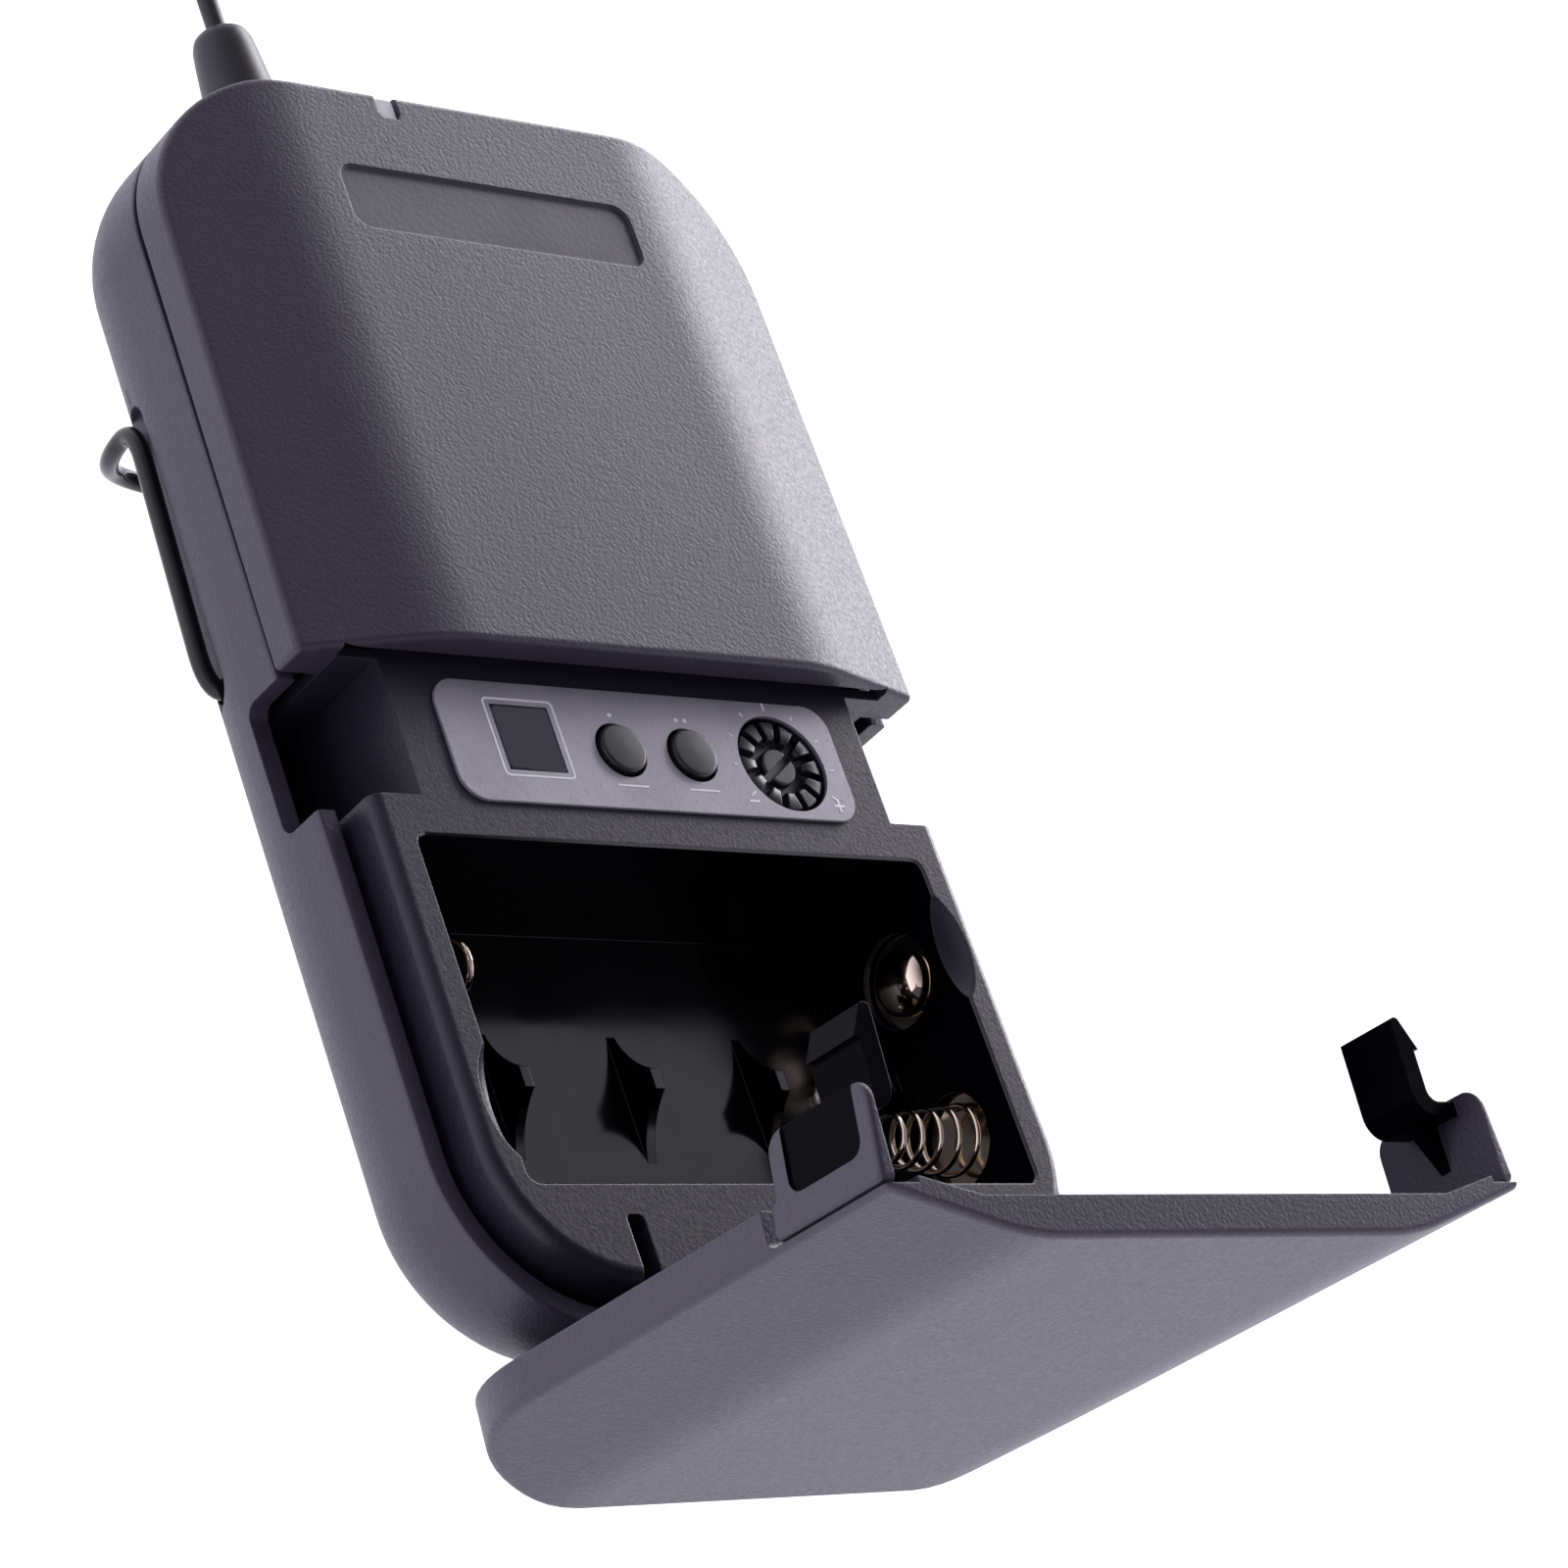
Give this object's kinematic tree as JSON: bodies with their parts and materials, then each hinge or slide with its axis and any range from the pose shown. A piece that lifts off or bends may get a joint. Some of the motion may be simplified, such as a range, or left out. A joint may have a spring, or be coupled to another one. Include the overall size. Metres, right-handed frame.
{
  "type": "wireless bodypack transmitter",
  "caption": "Belt-worn radio transmitter for a microphone, with a hinged battery door held by squeeze latches, a wire belt clip and a flexible whip antenna.",
  "frame": {"origin": "centre of the flat back face of the case", "axes": "+X to the right seen from the front with the antenna up, +Y along the case towards the antenna end, +Z out of the front"},
  "size_m": [0.064, 0.234, 0.0626],
  "materials": {
    "case_plastic": "fine leather-like grain",
    "frame_plastic": "smooth satin",
    "label_print": "satin printed film",
    "smoked_window": "polished",
    "button_plastic": "satin",
    "component_body": "moulded",
    "nickel_plate": "bright nickel plate",
    "blackened_steel": "black satin",
    "brass": "bright",
    "tinned_steel": "dull tin plate",
    "board_laminate": "solder mask",
    "clear_lens": "clear polished",
    "insulator": "moulded",
    "antenna_rubber": "smooth"
  },
  "bodies": {
    "pack": {"rear_shell": "case_plastic", "front_cover": "case_plastic", "chassis": "frame_plastic", "control_label": "label_print", "display_window": "smoked_window", "display_module": "component_body", "group_switch": "component_body", "channel_switch": "component_body", "gain_potentiometer": "component_body", "power_switch_body": "component_body", "series_contact_plate": "nickel_plate", "negative_terminal_plate": "nickel_plate", "positive_terminal_plate": "nickel_plate", "lower_cell_spring": "nickel_plate", "upper_cell_spring": "nickel_plate", "compartment_screw": "nickel_plate", "mic_connector_shell": "nickel_plate", "mic_connector_nut": "nickel_plate", "left_hinge_pin": "blackened_steel", "right_hinge_pin": "blackened_steel", "left_board_screw": "blackened_steel", "right_board_screw": "blackened_steel", "case_screw_upper_left": "blackened_steel", "case_screw_upper_right": "blackened_steel", "case_screw_lower_left": "blackened_steel", "case_screw_lower_right": "blackened_steel", "antenna_base": "brass", "mic_pin_1": "brass", "mic_pin_2": "brass", "mic_pin_3": "brass", "mic_pin_4": "brass", "rf_shield": "tinned_steel", "main_board": "board_laminate", "led_lens": "clear_lens", "status_led": "clear_lens", "mic_connector_insert": "insulator", "antenna_whip": "antenna_rubber", "antenna_boot": "antenna_rubber"},
    "door": {"battery_door": "case_plastic"},
    "left_latch": {"left_latch": "case_plastic"},
    "right_latch": {"right_latch": "case_plastic"},
    "group_button": {"group_button": "button_plastic"},
    "channel_button": {"channel_button": "button_plastic"},
    "gain_knob": {"gain_knob": "button_plastic"},
    "power_slider": {"power_slider": "button_plastic"},
    "belt_clip": {"belt_clip": "blackened_steel"}
  },
  "joints": [
    {"name": "door_hinge", "type": "hinge", "parent": "pack", "child": "door", "pos_m": [0, -0.0499, 0.0071], "axis": [1, 0, 0], "range_deg": [-96, 0]},
    {"name": "left_latch_squeeze", "type": "slide", "parent": "door", "child": "left_latch", "axis": [1, 0, 0], "range_m": [0, 0.0008], "stiffness_N_per_m": 500},
    {"name": "right_latch_squeeze", "type": "slide", "parent": "door", "child": "right_latch", "axis": [-1, 0, 0], "range_m": [0, 0.0008], "stiffness_N_per_m": 500},
    {"name": "group_button_press", "type": "slide", "parent": "pack", "child": "group_button", "axis": [0, 0, -1], "range_m": [0, 0.0004], "stiffness_N_per_m": 400},
    {"name": "channel_button_press", "type": "slide", "parent": "pack", "child": "channel_button", "axis": [0, 0, -1], "range_m": [0, 0.0004], "stiffness_N_per_m": 400},
    {"name": "gain_knob_turn", "type": "hinge", "parent": "pack", "child": "gain_knob", "pos_m": [0.0142, -0.0062, 0.0136], "axis": [0, 0, 1], "range_deg": [-135, 135]},
    {"name": "power_slider_slide", "type": "slide", "parent": "pack", "child": "power_slider", "axis": [1, 0, 0], "range_m": [0, 0.0024]},
    {"name": "belt_clip_swing", "type": "hinge", "parent": "pack", "child": "belt_clip", "pos_m": [0, 0.0053, 0.0048], "axis": [1, 0, 0], "range_deg": [0, 1.5], "stiffness_Nm_per_rad": 0.3}
  ]
}
